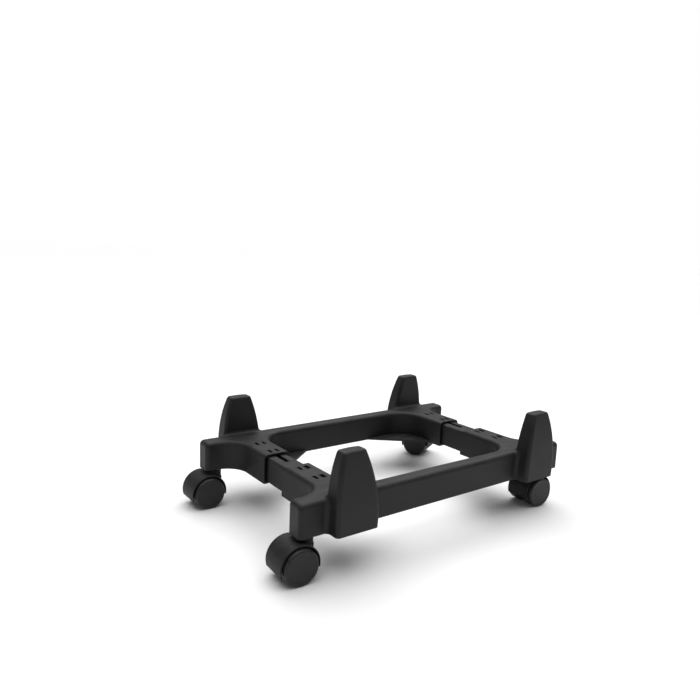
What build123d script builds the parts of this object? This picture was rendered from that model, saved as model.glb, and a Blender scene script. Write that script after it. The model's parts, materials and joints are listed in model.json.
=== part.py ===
"""Rolling stand for a tower computer: two telescoping moulded frame halves on four twin-wheel casters.

+X is the direction in which the slide half pulls out, +Y runs along the rails towards the back,
+Z is up. The origin is on the floor, below the middle of the frame. Millimetres.
"""

import os
from math import cos, radians, sin

from build123d import *

# ---- levels above the floor ----
wheel_d = 35.0
frame_bottom = 42.0
frame_height = 32.8
deck_z = frame_bottom + frame_height
post_top = 119.9

# ---- plan of one half, measured from the middle of the frame ----
rail_in = 93.0            # rail inner face
rail_out = 111.0          # rail and nose outer face
nose_in = 89.6            # inner face of the nose that carries a caster
nose_end = 186.0
arm_y = 132.1             # centre line of a cross arm
arm_half = 16.25          # half the width of a cross arm
corner_r = 32.0           # inside corner between rail and arm
neck_r = 26.0             # hollow curve between nose and arm
nose_out_r = 4.0          # vertical corner of a nose on its outer side
nose_in_r = 5.0           # and on its inner side
top_r = 5.4               # rounding along the top edges

# ---- moulded walls ----
wall = 2.5
deck_t = 2.6              # deck and sleeve top
rib_t = 2.0
rib_rise = 4.0            # ribs stop this far above the bottom edge
rib_count = 6             # ribs across a rail
rib_pitch = 36.0
arm_rib_x = 45.0
root = 0.5                # how far ribs and plates are sunk into the walls they join

# ---- telescoping arms ----
mouth_x = -23.0           # open end of the socket half's sleeves
shoulder_x = 14.8         # where the slide half's arms thin down to the tongues
shoulder_run = 5.5        # length of the ramp up from tongue to deck
tongue_end = -65.0        # tip of a tongue inside its sleeve
sleeve_wall = 3.2
slide_gap = 0.4           # clearance all round a tongue
lip_t = 2.0               # lips that close the sleeve from below
lip_reach = 7.0
mouth_relief = 1.9        # widening at the sleeve mouth
mouth_rise = 0.8
mouth_depth = 3.4
tongue_wall = 2.4
tongue_top_r = 3.5
tongue_tip_r = 1.2
tongue_ribs_x = (-42.0, -20.0)
tongue_rib_rise = 11.0
roof_r = 1.5              # inside corners under a tongue's top
guide_w = 5.6             # long slot along the top of a tongue
guide_start = -62.4
guide_end = -0.8
lug_x = -40.3             # stop lug under the sleeve top, runs in the slot
lug_l = 3.0
lug_w = 4.6

# ---- deck slots, two by two on each arm ----
slide_slot_x = (30.2, 59.5)
socket_slot_x = (32.2, 62.3)
slot_dy = 4.3
slot_l = 9.0
slot_w = 3.4
slot_far_w = 5.0          # the row towards +Y of the slide half is wider

# ---- corner posts: sections from the bottom edge to the top ----
post_y = 132.0
post_mid = (deck_z + post_top) / 2
post_sections = (
    # level, inner X, outer X, reach towards the rail's middle, reach towards the nose
    (frame_bottom, 106.0, 126.4, 24.6, 24.0),
    (deck_z, 106.0, 126.4, 23.0, 23.7),
    (post_mid, 106.3, 124.3, 18.4, 21.0),
    (post_top, 106.7, 120.7, 10.7, 14.5),
)
post_corner_r = 4.0
post_brow_r = 3.3         # rounding along the top
post_crown = 0.6
post_foot_r = 5.0         # flare where the post meets rail and deck
post_roof = 9.0           # solid material under the top
post_step = 2.0           # the hollow widens this far above the deck

# ---- gusset plates in the inside corners ----
gusset_t = 2.5
gusset_rail_y = 49.0
gusset_arm_x = 41.0

# ---- caster, in its own frame: stem on the Z axis, axle along X, wheels trail towards -Y ----
stem_x = 98.9
stem_y = 168.8
trail = 15.5
wheel_r = wheel_d / 2
axle_z = wheel_r

axle_r = 2.5
axle_half = 15.1
axle_bevel = 0.5
snap_in = 13.1            # groove in the axle that a wheel hub clicks into
snap_out = 14.2
snap_depth = 0.3
hub_fit = 0.06            # running clearance of a wheel on the axle
hub_lip = 0.1             # slack of the hub's click ring in the groove
hub_end = 0.4             # room past the axle's end in the blind hub

wheel_in = 5.6            # inner face of a wheel, from the middle of the caster
wheel_out = 18.5          # outer face
wheel_dish = 0.3          # the outer face is recessed this much inside its rim
rim_w = 3.4
dish_slope = 1.0
shoulder_r = 2.4          # rounding from tread to outer face
tread_wall = 2.3
tread_inset = 0.7         # the tread starts this far out from the hub's inner face
disc_t = 2.4
hub_r = 5.2
spoke_count = 6
spoke_t = 1.2
spoke_gap = 2.6           # spokes stay back from the tread's inner edge

hood_half = 15.2
hood_r = 20.6
hood_t = 1.2
hood_in = hood_r - hood_t
hood_edge_r = 0.8
hood_lead_deg = -12.0     # hood edge on the leading side, measured from the axle
hood_trail_deg = 198.5    # hood edge on the trailing side
web_t = 3.2
web_reach = hood_in + hood_t / 3
axle_boss_r = 6.1
axle_boss_half = 5.2
boss_r = 5.2              # boss round the stem, between the wheels
boss_low = 13.5
boss_floor = 16.3
neck_half = 4.6           # block that carries the stem over the crest of the hood
neck_run = 13.0
neck_low = 30.0
neck_top = 39.4
neck_bevel = 0.6

stem_r = 4.0
stem_low = 16.5
stem_top = 68.0
stem_tip = 2.0
stem_bevel = 0.6
collar_r = 6.4
collar_low = 40.2
collar_top = 41.6
groove_low = 60.0         # groove in the stem that the grip ring sits in
groove_top = 63.0
groove_depth = 0.6

socket_r = 7.5            # boss round the stem inside a nose
socket_bore = 4.3
ring_low = 50.0
ring_top = 64.0
ring_out = 5.15
ring_bore = 4.05
ring_fit = 0.1
ring_split = 1.4

# corner name: (side of the frame in X, end in Y, rest angle of the swivel in degrees)
corners = {
    "front_left": (-1, -1, 0.0),
    "front_right": (1, -1, -3.0),
    "back_left": (-1, 1, -63.0),
    "back_right": (1, 1, -5.0),
}

tongue_half = arm_half - sleeve_wall - slide_gap
tongue_top = deck_z - deck_t - slide_gap
tongue_low = frame_bottom + lip_t + slide_gap
rail_mid = (rail_in + rail_out) / 2
rib_low = frame_bottom + rib_rise
rib_top = deck_z - deck_t + root
axle_axis = Axis((0, -trail, axle_z), (1, 0, 0))
axle_plane = Plane(origin=(0, -trail, axle_z), x_dir=(1, 0, 0), z_dir=(0, -1, 0))
side_plane = Plane(origin=(0, -trail, axle_z), x_dir=(0, 1, 0), z_dir=(1, 0, 0))

os.makedirs("parts", exist_ok=True)


def save(piece, name):
    """Label a finished piece and write it as its own STEP file."""
    piece.label = name
    export_step(piece, f"parts/{name}.step")


# ---------------------------------------------------------------- frame halves


def plan_prism(tip, inset, low, high):
    """Plan of the +X half, arms ending at x = tip, drawn in by inset and raised from low to high."""
    with BuildPart() as prism:
        with BuildSketch(Plane.XY.offset(low)):
            with BuildLine():
                Polyline(
                    (tip, arm_y - arm_half),
                    (rail_in, arm_y - arm_half),
                    (rail_in, -arm_y + arm_half),
                    (tip, -arm_y + arm_half),
                    (tip, -arm_y - arm_half),
                    (nose_in, -arm_y - arm_half),
                    (nose_in, -nose_end),
                    (rail_out, -nose_end),
                    (rail_out, nose_end),
                    (nose_in, nose_end),
                    (nose_in, arm_y + arm_half),
                    (tip, arm_y + arm_half),
                    close=True,
                )
            outline = make_face()
            inside = [v for v in outline.vertices() if abs(v.X - rail_in) < 0.1]
            fillet(inside, radius=corner_r)
            necks = [v for v in vertices() if abs(v.X - nose_in) < 0.1 and abs(v.Y) < nose_end - 1]
            fillet(necks, radius=neck_r)
            for nose_x, radius in ((rail_out, nose_out_r), (nose_in, nose_in_r)):
                tips = [v for v in vertices() if abs(v.Y) > nose_end - 0.1 and abs(v.X - nose_x) < 0.1]
                fillet(tips, radius=radius)
            if inset:
                offset(amount=-inset, mode=Mode.REPLACE)
        extrude(amount=high - low)
    return prism.part


def post_edges(level):
    """Inner X, outer X, reach to the rail's middle and reach to the nose of a post at a level."""
    for low, high in zip(post_sections, post_sections[1:]):
        if level <= high[0]:
            share = (level - low[0]) / (high[0] - low[0])
            return [a + share * (b - a) for a, b in zip(low[1:], high[1:])]
    return post_sections[-1][1:]


def outer_post():
    """One corner post at +X +Y, lofted through rounded sections and crowned along its top."""
    rail_reach, nose_reach = post_sections[-1][3:]
    top_y = post_y + (nose_reach - rail_reach) / 2
    reach = 2 * nose_reach
    sag = post_top - post_crown * (2 * reach / (nose_reach + rail_reach)) ** 2
    with BuildPart() as post:
        for level, x_in, x_out, to_rail, to_nose in post_sections:
            with BuildSketch(Plane.XY.offset(level)):
                with Locations(((x_in + x_out) / 2, post_y + (to_nose - to_rail) / 2)):
                    RectangleRounded(x_out - x_in, to_nose + to_rail, post_corner_r)
        loft()
        with BuildSketch(Plane.YZ):
            with BuildLine():
                ThreePointArc((top_y + reach, sag), (top_y, post_top), (top_y - reach, sag))
                Polyline(
                    (top_y - reach, sag),
                    (top_y - reach, frame_bottom),
                    (top_y + reach, frame_bottom),
                    (top_y + reach, sag),
                )
            make_face()
        extrude(amount=2 * rail_out, mode=Mode.INTERSECT)
        brow = post.edges().filter_by(lambda e: e.center().Z > post_top - 3 * post_crown - 1)
        fillet(brow, radius=post_brow_r)
    return post.part


def post_core():
    """The drafted hollow inside a post, open at the bottom."""
    with BuildPart() as core:
        for level in (frame_bottom, deck_z + post_step, post_mid, post_top - post_roof):
            x_in, x_out, to_rail, to_nose = post_edges(level)
            x_in = max(x_in + wall, rail_out + 0.4) if level < deck_z else x_in + wall
            with BuildSketch(Plane.XY.offset(level)):
                with Locations(((x_in + x_out - wall) / 2, post_y + (to_nose - to_rail) / 2)):
                    Rectangle(x_out - wall - x_in, to_nose + to_rail - 2 * wall)
        loft(ruled=True)
    return core.part


def blank_half(tip):
    """Outer shape of the +X half before coring: rail, noses, arms up to x = tip, and both posts."""
    with BuildPart() as blank:
        add(plan_prism(tip, 0, frame_bottom, deck_z))
        rim = blank.edges().filter_by(lambda e: abs(e.center().Z - deck_z) < 0.01)
        rim = rim.filter_by(lambda e: abs(e.center().X - tip) > 0.1)
        fillet(rim, radius=top_r)
        post = outer_post()
        add(post)
        add(post.mirror(Plane.XZ))
        foot = blank.edges().filter_by(
            lambda e: abs(abs(e.center().Y) - post_y) < post_sections[0][3] + 3
            and post_sections[0][1] - 3 < e.center().X < rail_out + 2
            and frame_bottom + 1 < e.center().Z < deck_z + 0.5
        )
        fillet(foot, radius=post_foot_r)
    return blank.part


def core_half(tip):
    """Everything the mould core removes from the +X half: channels, post hollows, stem bores."""
    with BuildPart() as core:
        add(plan_prism(tip, wall, frame_bottom - 1, deck_z - deck_t))
        hollow = post_core()
        add(hollow)
        add(hollow.mirror(Plane.XZ))
    return core.part


def stiffeners():
    """Ribs, stem sockets and gusset plates added back inside the +X half."""
    arm_face = arm_y - arm_half
    ribs_y = [rib_pitch * (n - (rib_count - 1) / 2) for n in range(rib_count)]
    with BuildPart() as inside:
        with Locations([(rail_mid, y, (rib_low + rib_top) / 2) for y in ribs_y]):
            Box(rail_out - rail_in - 2 * wall + 2 * root, rib_t, rib_top - rib_low)
        for end in (-1, 1):
            with BuildSketch(Plane.XY.offset(frame_bottom)):
                with Locations((stem_x, end * stem_y)):
                    Circle(socket_r)
            extrude(amount=rib_top - frame_bottom)
            with Locations(((nose_in + rail_out) / 2, end * stem_y, (rib_low + rib_top) / 2)):
                Box(rail_out - nose_in - 2 * wall + 2 * root, rib_t, rib_top - rib_low)
            with BuildSketch(Plane.XY.offset(frame_bottom)):
                with BuildLine():
                    Polyline(
                        (rail_in + root, end * gusset_rail_y),
                        (rail_in + root, end * (arm_face + root)),
                        (gusset_arm_x, end * (arm_face + root)),
                        (gusset_arm_x, end * arm_face),
                        (rail_in, end * gusset_rail_y),
                        close=True,
                    )
                make_face()
            extrude(amount=gusset_t)
    return inside.part


def stem_bore():
    """Stepped bore for a caster stem and its grip ring, at the +X +Y nose."""
    with BuildPart() as bore:
        for radius, low, high in (
            (socket_bore, frame_bottom - 1, ring_low),
            (ring_out + ring_fit / 2, ring_low, ring_top),
            (socket_bore, ring_top, stem_top + 1),
        ):
            with BuildSketch(Plane.XY.offset(low)):
                with Locations((stem_x, stem_y)):
                    Circle(radius)
            extrude(amount=high - low)
    return bore.part


def deck_slots(columns, far_w):
    """Two-by-two slots through the deck of both arms, at the given X columns."""
    with BuildPart() as slots:
        for row, width in ((-slot_dy, slot_w), (slot_dy, far_w)):
            with Locations([(x, end * arm_y + row, deck_z) for x in columns for end in (-1, 1)]):
                Box(slot_l, width, 4 * deck_t)
    return slots.part


def cored_half(tip):
    """The +X half with arms ending at x = tip, hollow from below, ribbed and bored for the stems."""
    with BuildPart() as half:
        add(blank_half(tip))
        add(core_half(tip + wall), mode=Mode.SUBTRACT)
        add(stiffeners())
        bore = stem_bore()
        add(bore, mode=Mode.SUBTRACT)
        add(bore.mirror(Plane.XZ), mode=Mode.SUBTRACT)
    return half.part


def tube(x_low, x_high, half, low, high, round_top):
    """A solid bar along X inside the +Y arm, its two top edges rounded."""
    with BuildPart() as bar:
        with BuildSketch(Plane.YZ.offset(x_low)):
            with Locations((arm_y, (low + high) / 2)):
                Rectangle(2 * half, high - low)
            top = vertices().group_by(Axis.Y)[-1]
            fillet(top, radius=round_top)
        extrude(amount=x_high - x_low)
    return bar.part


def tongue():
    """Sliding tongue of the slide half's +Y arm: an upturned channel with a long guide slot."""
    base = shoulder_x + wall
    inner = tongue_half - tongue_wall
    roof = tongue_top - tongue_wall
    tongue_rib_low = tongue_low + tongue_rib_rise
    cavity = tube(tongue_end + tongue_wall, base + 1, inner, tongue_low - 1, roof, roof_r)
    with BuildPart() as bar:
        add(tube(tongue_end, base, tongue_half, tongue_low, tongue_top, tongue_top_r))
        tip_edges = bar.faces().sort_by(Axis.X)[0].edges().filter_by(Axis.Z)
        fillet(tip_edges, radius=tongue_tip_r)
        add(cavity, mode=Mode.SUBTRACT)
        with Locations([(x, arm_y, (tongue_rib_low + roof + root) / 2) for x in tongue_ribs_x]):
            Box(rib_t, 2 * (inner + root), roof + root - tongue_rib_low)
        with Locations(((guide_start + guide_end) / 2, arm_y, tongue_top)):
            Box(guide_end - guide_start, guide_w, 3 * tongue_wall, mode=Mode.SUBTRACT)
    return bar.part


def sleeve_liner():
    """Solid filling of the socket half's +Y arm channel (built on the +X side)."""
    with BuildPart() as liner:
        with Locations(((rail_in + root - mouth_x) / 2, arm_y, (frame_bottom + rib_top) / 2)):
            Box(rail_in + root + mouth_x, 2 * (arm_half - wall + root), rib_top - frame_bottom)
    return liner.part


def sleeve_core():
    """The passage a tongue slides in, with its widened mouth and the gap between the lips."""
    half = tongue_half + slide_gap
    high = tongue_top + slide_gap
    low = frame_bottom + lip_t
    mouth = -mouth_x
    round_top = tongue_top_r + slide_gap
    flare_r = round_top + mouth_relief
    with BuildPart() as core:
        add(tube(mouth - 1, rail_in + wall, half, low, high, round_top))
        add(tube(mouth - 1, mouth + mouth_depth, half + mouth_relief, low, high + mouth_rise, flare_r))
        with Locations(((rail_in + wall + mouth) / 2, arm_y, low)):
            Box(rail_in + wall - mouth + 2, 2 * (half - lip_reach), 2 * lip_t + 2)
        with Locations((-lug_x, arm_y, high)):
            Box(lug_l, lug_w, 2 * (high - tongue_top + tongue_wall), mode=Mode.SUBTRACT)
    return core.part


# ---- slide half: +X side, with two tongues ----
with BuildPart() as slide_half:
    add(cored_half(shoulder_x))
    # ramps from the tongues up to the deck
    with BuildSketch(Plane.XZ):
        with BuildLine():
            Polyline(
                (shoulder_x - 1, deck_z + 1),
                (shoulder_x - 1, tongue_top),
                (shoulder_x, tongue_top),
                (shoulder_x + shoulder_run, deck_z),
                (shoulder_x + shoulder_run, deck_z + 1),
                close=True,
            )
        make_face()
    extrude(amount=nose_end, both=True, mode=Mode.SUBTRACT)
    bar = tongue()
    with Locations([(arm_rib_x, end * arm_y, (rib_low + rib_top) / 2) for end in (-1, 1)]):
        Box(rib_t, 2 * (arm_half - wall + root), rib_top - rib_low)
    add(bar)
    add(bar.mirror(Plane.XZ))
    add(deck_slots(slide_slot_x, slot_far_w), mode=Mode.SUBTRACT)
save(slide_half.part, "slide_frame_half")

# ---- socket half: shaped on the +X side, then mirrored over to -X ----
with BuildPart() as socket_side:
    add(cored_half(-mouth_x))
    liner = sleeve_liner()
    add(liner)
    add(liner.mirror(Plane.XZ))
    passage = sleeve_core()
    add(passage, mode=Mode.SUBTRACT)
    add(passage.mirror(Plane.XZ), mode=Mode.SUBTRACT)
    add(deck_slots(socket_slot_x, slot_w), mode=Mode.SUBTRACT)
with BuildPart() as socket_half:
    add(socket_side.part.mirror(Plane.YZ))
save(socket_half.part, "socket_frame_half")


# ---------------------------------------------------------------- casters

# right-hand wheel: a dished disc with a tread, turning on the axle
with BuildPart() as wheel:
    with BuildSketch(axle_plane):
        with BuildLine():
            Polyline(
                (wheel_in, axle_r + hub_fit),
                (snap_in + hub_lip, axle_r + hub_fit),
                (snap_in + hub_lip, axle_r - snap_depth + hub_lip),
                (snap_out - hub_lip, axle_r - snap_depth + hub_lip),
                (snap_out - hub_lip, axle_r + hub_fit),
                (axle_half + hub_end, axle_r + hub_fit),
                (axle_half + hub_end, 0),
                (wheel_out - wheel_dish, 0),
                (wheel_out - wheel_dish, wheel_r - rim_w - dish_slope),
                (wheel_out, wheel_r - rim_w),
                (wheel_out, wheel_r),
                (wheel_in + tread_inset, wheel_r),
                (wheel_in + tread_inset, wheel_r - tread_wall),
                (wheel_out - disc_t, wheel_r - tread_wall),
                (wheel_out - disc_t, hub_r),
                (wheel_in, hub_r),
                close=True,
            )
        make_face()
        rim = vertices().filter_by(lambda v: v.Y > wheel_r - 0.1)
        fillet(rim.sort_by(Axis.X)[-1], radius=shoulder_r)
        fillet(rim.sort_by(Axis.X)[0], radius=tread_inset)
    revolve(axis=axle_axis)
    spoke_in = wheel_in + spoke_gap
    spoke_out = wheel_out - disc_t + spoke_gap / 4
    spoke_run = wheel_r - tread_wall + root - hub_r + root
    with BuildSketch(side_plane.offset(spoke_in)):
        with PolarLocations(hub_r - root + spoke_run / 2, spoke_count):
            Rectangle(spoke_run, spoke_t)
    extrude(amount=spoke_out - spoke_in)

with BuildPart() as axle:
    with BuildSketch(axle_plane):
        with BuildLine():
            Polyline(
                (0, 0),
                (0, axle_r),
                (snap_in, axle_r),
                (snap_in, axle_r - snap_depth),
                (snap_out, axle_r - snap_depth),
                (snap_out, axle_r),
                (axle_half - axle_bevel, axle_r),
                (axle_half, axle_r - axle_bevel),
                (axle_half, 0),
                close=True,
            )
        make_face()
    revolve(axis=axle_axis)
    mirror(about=Plane.YZ)

with BuildPart() as stem:
    with BuildSketch(Plane.XZ):
        with BuildLine():
            Polyline(
                (0, stem_low),
                (stem_r - stem_bevel, stem_low),
                (stem_r, stem_low + stem_bevel),
                (stem_r, collar_low),
                (collar_r, collar_low),
                (collar_r, collar_top),
                (stem_r, collar_top),
                (stem_r, groove_low),
                (stem_r - groove_depth, groove_low),
                (stem_r - groove_depth, groove_top),
                (stem_r, groove_top),
                (stem_r, stem_top - stem_tip),
                (stem_r - stem_tip, stem_top),
                (0, stem_top),
                close=True,
            )
        make_face()
    revolve(axis=Axis.Z)

# split spring ring: it fills its recess in the nose and its bead reaches into the stem's groove
with BuildPart() as grip_ring:
    with BuildSketch(Plane.XZ):
        with BuildLine():
            Polyline(
                (ring_bore, ring_low + ring_fit),
                (ring_out, ring_low + ring_fit),
                (ring_out, ring_top - ring_fit),
                (ring_bore, ring_top - ring_fit),
                (ring_bore, groove_top - 4 * ring_fit),
                (stem_r - groove_depth + ring_fit / 2, groove_top - 4 * ring_fit),
                (stem_r - groove_depth + ring_fit / 2, groove_low + 4 * ring_fit),
                (ring_bore, groove_low + 4 * ring_fit),
                close=True,
            )
        make_face()
    revolve(axis=Axis.Z)
    with Locations((0, ring_out, (ring_low + ring_top) / 2)):
        Box(ring_split, 2 * ring_out, ring_top - ring_low, mode=Mode.SUBTRACT)


def rim_arc(radius):
    """Side view of the hood: an arc round the axle from its leading to its trailing edge."""
    lead = radians(hood_lead_deg)
    tail = radians(hood_trail_deg)
    return ThreePointArc(*[(radius * cos(a), radius * sin(a)) for a in (lead, (lead + tail) / 2, tail)])


with BuildPart() as hood:
    # shell over the wheels, from the leading edge over the top to the trailing edge
    with BuildSketch(side_plane):
        with BuildLine():
            outer = rim_arc(hood_r)
            inner = rim_arc(hood_in)
            Line(outer @ 0, inner @ 0)
            Line(outer @ 1, inner @ 1)
        make_face()
    extrude(amount=hood_half, both=True)
    rims = hood.edges().filter_by(GeomType.CIRCLE)
    fillet(rims.filter_by(lambda e: abs(e.radius - hood_r) < 0.01), radius=hood_edge_r)
    # web between the wheels, with a boss for the axle
    with BuildSketch(side_plane):
        with BuildLine():
            edge = rim_arc(web_reach)
            Line(edge @ 0, edge @ 1)
        make_face()
    extrude(amount=web_t / 2, both=True)
    with BuildSketch(side_plane):
        Circle(axle_boss_r)
    extrude(amount=axle_boss_half, both=True)
    # boss for the stem between the wheels, and the block that carries it over the crest
    with BuildSketch(Plane.XY.offset(boss_low)):
        Circle(boss_r)
    extrude(amount=neck_low - boss_low + 1)
    with BuildSketch(Plane.XY.offset(neck_low)):
        with Locations((0, -neck_run / 2)):
            SlotCenterToCenter(neck_run, 2 * neck_half, rotation=90)
    extrude(amount=neck_top - neck_low)
    fillet(hood.faces().sort_by(Axis.Z)[-1].edges(), radius=neck_bevel)
    with BuildSketch(Plane.XY.offset(boss_floor)):
        Circle(stem_r + 0.02)
    extrude(amount=neck_top, mode=Mode.SUBTRACT)
    with BuildSketch(side_plane):
        Circle(axle_r + 0.02)
    extrude(amount=hood_half, both=True, mode=Mode.SUBTRACT)

flip = Location((0, -2 * trail, 0), (0, 0, 180))
for corner, (side, end, angle) in corners.items():
    place = Location((side * stem_x, end * stem_y, 0), (0, 0, angle))
    for name, piece in (
        ("caster_hood", hood.part),
        ("caster_stem", stem.part),
        ("grip_ring", grip_ring.part),
        ("axle", axle.part),
        ("right_wheel", wheel.part),
        ("left_wheel", wheel.part.moved(flip)),
    ):
        save(piece.moved(place), f"{name}_{corner}")
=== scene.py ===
"""Looks of the rolling computer stand: black moulded plastic on dark casters, on a pale studio floor."""
import json
from math import cos, radians, sin, tau

import bpy
from mathutils import Matrix, Vector


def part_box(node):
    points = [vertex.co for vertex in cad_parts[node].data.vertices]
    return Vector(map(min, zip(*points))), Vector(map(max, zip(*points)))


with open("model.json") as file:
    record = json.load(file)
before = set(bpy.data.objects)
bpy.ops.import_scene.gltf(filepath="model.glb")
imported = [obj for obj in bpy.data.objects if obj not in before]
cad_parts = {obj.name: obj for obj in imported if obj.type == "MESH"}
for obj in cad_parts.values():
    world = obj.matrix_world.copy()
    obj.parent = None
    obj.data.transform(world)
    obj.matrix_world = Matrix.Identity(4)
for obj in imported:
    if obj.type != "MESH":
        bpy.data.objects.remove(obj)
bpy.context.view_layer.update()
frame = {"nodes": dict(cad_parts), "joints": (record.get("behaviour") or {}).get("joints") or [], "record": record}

MM = 0.001

# ---- view: where the camera stands, in metres and degrees ----
CAMERA_AT = Vector((0.5562, -0.4695, 0.3040))
CAMERA_AZIMUTH = 53.35
CAMERA_ELEVATION = 9.52
CAMERA_ROLL = 2.2
LENS_MM = 32.58
SENSOR_MM = 36.0

# ---- studio ----
BACKDROP_SEEN = 1.0           # brightness of the surround as the camera sees it
BACKDROP_LIGHT = 0.20         # and as the object is lit by it
CEILING_LIGHT = 2.9
CEILING_SPREAD = 90.0         # degrees across, so shadows stay soft
CEILING_LEAN = (-8.0, -6.0)   # degrees about X and Y
FLOOR_COLOUR = (0.93, 0.93, 0.93)
SOFTBOXES = {
    # name: where it stands, width and height in metres, watts
    "back_softbox": ((-1.1, 0.9, 1.7), (2.4, 1.6), 14),
    "front_softbox": ((0.3, -2.0, 0.8), (1.2, 0.8), 0.3),
}
SOFTBOX_AIM = Vector((0, 0, 0.05))

# ---- moulded plastics: shade, shade where rubbed, grain size and depth, roughness, edge width ----
FRAME_FINISH = {
    "shade": (0.0105, 0.0105, 0.0108), "worn": (0.034, 0.034, 0.034),
    "grain": 0.75 * MM, "depth": 0.11 * MM, "rough": 0.52, "edge": 0.7 * MM,
}
HOOD_FINISH = {
    "shade": (0.0125, 0.0125, 0.0130), "worn": (0.036, 0.036, 0.038),
    "grain": 0.60 * MM, "depth": 0.060 * MM, "rough": 0.54, "edge": 0.5 * MM,
}
WHEEL_FINISH = {
    "shade": (0.0105, 0.0105, 0.0110), "worn": (0.034, 0.034, 0.036),
    "grain": 0.50 * MM, "depth": 0.040 * MM, "rough": 0.45, "edge": 0.4 * MM,
}
DUST = (0.055, 0.054, 0.052)
TREAD_DUST = (0.075, 0.072, 0.068)

# ---- dark steel: shade, shade of the oxide clouds, roughness at its smoothest ----
PLATED_FINISH = {"shade": (0.085, 0.087, 0.092), "oxide": (0.045, 0.046, 0.052), "rough": 0.30}
SPRING_FINISH = {"shade": (0.16, 0.16, 0.17), "oxide": (0.07, 0.075, 0.09), "rough": 0.26}


def make_camera():
    """A low product shot from the front right, tilted a little about the line of sight."""
    azimuth, elevation, roll = (radians(v) for v in (CAMERA_AZIMUTH, CAMERA_ELEVATION, CAMERA_ROLL))
    back = Vector((sin(azimuth) * cos(elevation), -cos(azimuth) * cos(elevation), sin(elevation)))
    level = (-back).cross(Vector((0, 0, 1))).normalized()
    above = level.cross(-back)
    right = level * cos(roll) + above * sin(roll)
    up = above * cos(roll) - level * sin(roll)
    data = bpy.data.cameras.new("camera")
    data.lens = LENS_MM
    data.sensor_width = SENSOR_MM
    data.clip_start = 0.01
    camera = bpy.data.objects.new("camera", data)
    bpy.context.scene.collection.objects.link(camera)
    camera.matrix_world = Matrix.Translation(CAMERA_AT) @ Matrix((right, up, back)).transposed().to_4x4()
    bpy.context.scene.camera = camera


def make_floor():
    """A plain pale floor under the wheels."""
    bpy.ops.mesh.primitive_plane_add(size=40, location=(0, 0, 0))
    floor = bpy.context.object
    floor.name = "floor"
    material = bpy.data.materials.new("pale_floor")
    material.use_nodes = True
    shader = material.node_tree.nodes["Principled BSDF"]
    shader.inputs["Base Color"].default_value = (*FLOOR_COLOUR, 1)
    shader.inputs["Roughness"].default_value = 0.8
    floor.data.materials.append(material)


def add_light(name, kind, power):
    """A light of this kind in the scene; the caller places it."""
    data = bpy.data.lights.new(name, kind)
    data.energy = power
    light = bpy.data.objects.new(name, data)
    bpy.context.scene.collection.objects.link(light)
    return light


def make_surround():
    """A white backdrop that lights the object less than it shows."""
    world = bpy.data.worlds.new("studio")
    world.use_nodes = True
    tree = world.node_tree
    light = tree.nodes["Background"]
    light.inputs["Strength"].default_value = BACKDROP_LIGHT
    seen = tree.nodes.new("ShaderNodeBackground")
    seen.inputs["Strength"].default_value = BACKDROP_SEEN
    for background in (light, seen):
        background.inputs["Color"].default_value = (1, 1, 1, 1)
    path = tree.nodes.new("ShaderNodeLightPath")
    mix = tree.nodes.new("ShaderNodeMixShader")
    tree.links.new(path.outputs["Is Camera Ray"], mix.inputs[0])
    tree.links.new(light.outputs[0], mix.inputs[1])
    tree.links.new(seen.outputs[0], mix.inputs[2])
    tree.links.new(mix.outputs[0], tree.nodes["World Output"].inputs["Surface"])
    bpy.context.scene.world = world


def make_lights():
    """A wide even light from above, a softbox behind that glances off the tops, a weak one in front."""
    ceiling = add_light("ceiling", "SUN", CEILING_LIGHT)
    ceiling.data.angle = radians(CEILING_SPREAD)
    ceiling.rotation_euler = (radians(CEILING_LEAN[0]), radians(CEILING_LEAN[1]), 0)
    for name, (at, size, power) in SOFTBOXES.items():
        softbox = add_light(name, "AREA", power)
        softbox.data.shape = "RECTANGLE"
        softbox.data.size, softbox.data.size_y = size
        softbox.location = at
        softbox.rotation_euler = (SOFTBOX_AIM - Vector(at)).to_track_quat("-Z", "Y").to_euler()


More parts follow.
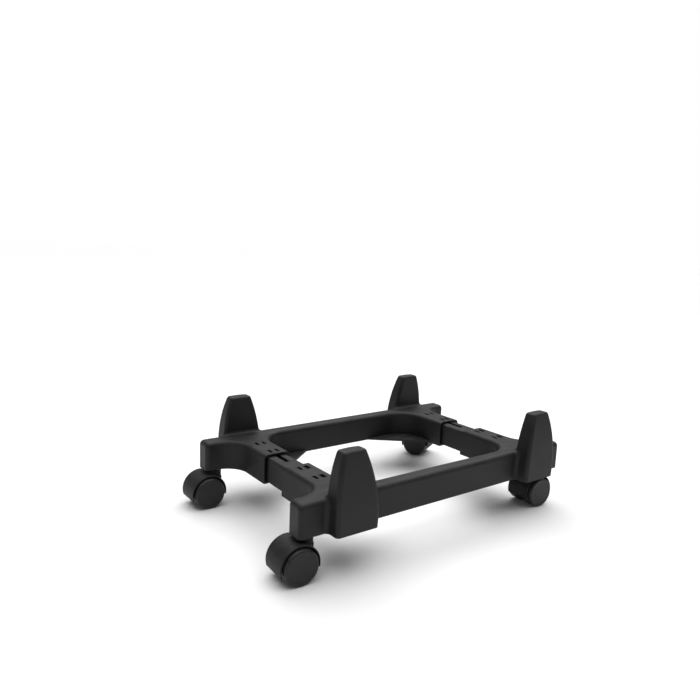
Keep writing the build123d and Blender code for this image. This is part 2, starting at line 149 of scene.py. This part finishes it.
class Paint:
    """One material being built: nodes are added by kind, and an output given as a value is wired in."""

    def __init__(self, name):
        self.material = bpy.data.materials.new(name)
        self.material.use_nodes = True
        self.tree = self.material.node_tree
        self.shader = self.tree.nodes["Principled BSDF"]
        self.place = self.add("TexCoord").outputs["Object"]
        self.normal = self.add("NewGeometry").outputs["Normal"]

    def feed(self, socket, value):
        """Wires an output into the socket, or sets the socket to a plain value."""
        if isinstance(value, bpy.types.NodeSocket):
            self.tree.links.new(value, socket)
        else:
            socket.default_value = value

    def add(self, kind, inputs=None, **settings):
        """A shader node of this kind, with its settings and inputs."""
        node = self.tree.nodes.new("ShaderNode" + kind)
        for name, value in settings.items():
            setattr(node, name, value)
        for key, value in (inputs or {}).items():
            self.feed(node.inputs[key], value)
        return node

    def math(self, operation, a, b=0.0):
        """Sum, product or another operation on two values."""
        return self.add("Math", {0: a, 1: b}, operation=operation).outputs[0]

    def noise(self, size, detail=2.0, roughness=0.5, stretch=(1, 1, 1)):
        """Cloudy noise from 0 to 1 with patches of this size, longer where stretch is above 1."""
        scale = tuple(1 / s for s in stretch)
        place = self.add("Mapping", {"Vector": self.place, "Scale": scale}).outputs[0]
        inputs = {"Vector": place, "Scale": 1 / size, "Detail": detail, "Roughness": roughness}
        return self.add("TexNoise", inputs).outputs[0]

    def range(self, value, low, high, to_low=0.0, to_high=1.0):
        """Smooth step: to_low where the value is at low, to_high at high."""
        inputs = {"Value": value, "From Min": low, "From Max": high, "To Min": to_low, "To Max": to_high}
        return self.add("MapRange", inputs, interpolation_type="SMOOTHSTEP").outputs[0]

    def blend(self, share, first, second):
        """Colour that goes from first to second as share goes from 0 to 1."""
        node = self.add("Mix", data_type="RGBA")
        for index, value in ((0, share), (6, first), (7, second)):
            self.feed(node.inputs[index], (*value, 1) if isinstance(value, tuple) else value)
        return node.outputs[2]

    def upward(self):
        """How far the surface faces up: 1 on a level top, 0 on a wall, -1 below."""
        return self.add("SeparateXYZ", {0: self.normal}).outputs["Z"]

    def sharp_edges(self, radius):
        """1 on crisp edges, where the rounded normal leaves the true one, and 0 on plain faces."""
        rounded = self.add("Bevel", {"Radius": radius}, samples=6).outputs[0]
        along = self.add("VectorMath", {0: rounded, 1: self.normal}, operation="DOT_PRODUCT")
        return self.range(along.outputs["Value"], 0.995, 0.8)

    def rounded_edges(self):
        """1 along the rounding between walls and tops, 0 on both."""
        up = self.upward()
        return self.math("MULTIPLY", self.range(up, 0.15, 0.45), self.range(up, 0.97, 0.75))

    def bump(self, height, depth, strength=1.0, over=None):
        """Normal of a surface raised by depth where height is 1, on top of another relief."""
        inputs = {"Height": height, "Distance": depth, "Strength": strength}
        if over is not None:
            inputs["Normal"] = over
        return self.add("Bump", inputs).outputs[0]

    def finish(self, colour, roughness, relief, **uniform):
        """Wires the shader; uniform values go straight on its own sockets."""
        self.feed(self.shader.inputs["Base Color"], colour)
        self.feed(self.shader.inputs["Roughness"], roughness)
        self.feed(self.shader.inputs["Normal"], relief)
        for name, value in uniform.items():
            self.shader.inputs[name.replace("_", " ")].default_value = value
        return self.material


def moulded(paint, shade, worn, grain, depth, rough, edge):
    """Black moulded plastic: mottled shade, spark-eroded grain, dust on tops and rubbed edges."""
    mottle = paint.noise(28 * MM, detail=3, roughness=0.55)
    flow = paint.noise(6 * MM, detail=2, stretch=(1, 4, 1))
    rough_grain = paint.noise(grain, detail=4, roughness=0.7)

    dark, light = (tuple(share * v for v in shade) for share in (0.8, 1.2))
    colour = paint.blend(paint.range(mottle, 0.3, 0.7), dark, light)
    colour = paint.blend(paint.range(rough_grain, 0.55, 0.8, 0.0, 0.35), colour, worn)
    level = paint.range(paint.upward(), 0.55, 1.0)
    dust = paint.math("MULTIPLY", level, paint.range(flow, 0.35, 0.75, 0.05, 0.35))
    colour = paint.blend(dust, colour, DUST)

    rub = paint.math("MAXIMUM", paint.sharp_edges(edge), paint.math("MULTIPLY", paint.rounded_edges(), 0.35))
    rub = paint.math("MULTIPLY", rub, paint.range(paint.noise(9 * MM, detail=4), 0.38, 0.62, 0.25, 1.0))
    colour = paint.blend(paint.math("MULTIPLY", rub, 0.6), colour, worn)
    uneven = paint.range(mottle, 0.25, 0.75, rough - 0.04, rough + 0.05)
    roughness = paint.math("SUBTRACT", uneven, paint.math("MULTIPLY", rub, 0.09))

    relief = paint.bump(rough_grain, depth, 0.8)
    relief = paint.bump(paint.noise(45 * MM, detail=1), 0.25 * MM, 0.25, over=relief)
    return colour, roughness, relief


def frame_plastic():
    """Matte black of the two frame halves."""
    paint = Paint("frame_plastic")
    return paint.finish(*moulded(paint, **FRAME_FINISH), Specular_IOR_Level=0.27)


def caster_plastic():
    """Smoother black of the hoods."""
    paint = Paint("caster_plastic")
    return paint.finish(*moulded(paint, **HOOD_FINISH), Specular_IOR_Level=0.20)


def from_axle(paint, corner):
    """Distance of the surface from the axle line of one caster."""
    joint = next(j for j in frame["joints"] if j["name"] == f"roll_right_{corner}")
    arm = paint.add("VectorMath", {0: paint.place, 1: joint["pos_m"]}, operation="SUBTRACT").outputs[0]
    across = paint.add("VectorMath", {0: arm, 1: joint["axis"]}, operation="CROSS_PRODUCT").outputs[0]
    return paint.add("VectorMath", {0: across}, operation="LENGTH").outputs["Value"]


def wheel_plastic(corner):
    """Satin black of one caster's wheels: turning marks round the axle, a scuffed and dusty tread."""
    paint = Paint(f"wheel_plastic_{corner}")
    colour, roughness, relief = moulded(paint, **WHEEL_FINISH)
    low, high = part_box(f"right_wheel_{corner}")
    wheel_r = (high.z - low.z) / 2
    radius = from_axle(paint, corner)
    rings = paint.math("SINE", paint.math("MULTIPLY", radius, tau / (0.55 * MM)))
    relief = paint.bump(rings, 0.004 * MM, 0.7, over=relief)
    tread = paint.range(radius, wheel_r - 1.2 * MM, wheel_r - 0.1 * MM)
    scuffs = paint.range(paint.noise(2.5 * MM, detail=5, roughness=0.65), 0.4, 0.7)
    dusty = paint.math("MULTIPLY", tread, scuffs)
    colour = paint.blend(paint.math("MULTIPLY", dusty, 0.45), colour, TREAD_DUST)
    roughness = paint.math("ADD", roughness, paint.math("MULTIPLY", dusty, 0.2))
    return paint.finish(colour, roughness, relief, Specular_IOR_Level=0.34)


def steel(name, shade, oxide, rough):
    """Dark finished steel: fine marks of turning round Z, cloudy plating, brighter crisp edges."""
    paint = Paint(name)
    cloud = paint.noise(4 * MM, detail=4, roughness=0.6)
    marks = paint.noise(0.35 * MM, detail=3, stretch=(12, 12, 1))
    colour = paint.blend(paint.range(cloud, 0.35, 0.7), shade, oxide)
    colour = paint.blend(paint.sharp_edges(0.3 * MM), colour, tuple(2.2 * v for v in shade))
    roughness = paint.range(cloud, 0.3, 0.75, rough, rough + 0.16)
    relief = paint.bump(marks, 0.010 * MM, 0.6)
    return paint.finish(colour, roughness, relief, Metallic=1.0)


def paint_everything():
    """Gives every CAD node the material of its slot in the record."""
    shared = {
        "frame_plastic": frame_plastic(),
        "caster_plastic": caster_plastic(),
        "plated_steel": steel("plated_steel", **PLATED_FINISH),
        "spring_steel": steel("spring_steel", **SPRING_FINISH),
    }
    wheels = {c: wheel_plastic(c) for c in ("front_left", "front_right", "back_left", "back_right")}
    for part in frame["record"]["subparts"]:
        name = part["node"]
        slot = part["material_slot"]
        corner = name.split("_wheel_")[-1]
        piece = frame["nodes"][name]
        piece.data.materials.clear()
        piece.data.materials.append(wheels[corner] if slot == "wheel_plastic" else shared[slot])


make_camera()
make_floor()
make_surround()
make_lights()
paint_everything()
bpy.context.scene.view_settings.view_transform = "Standard"
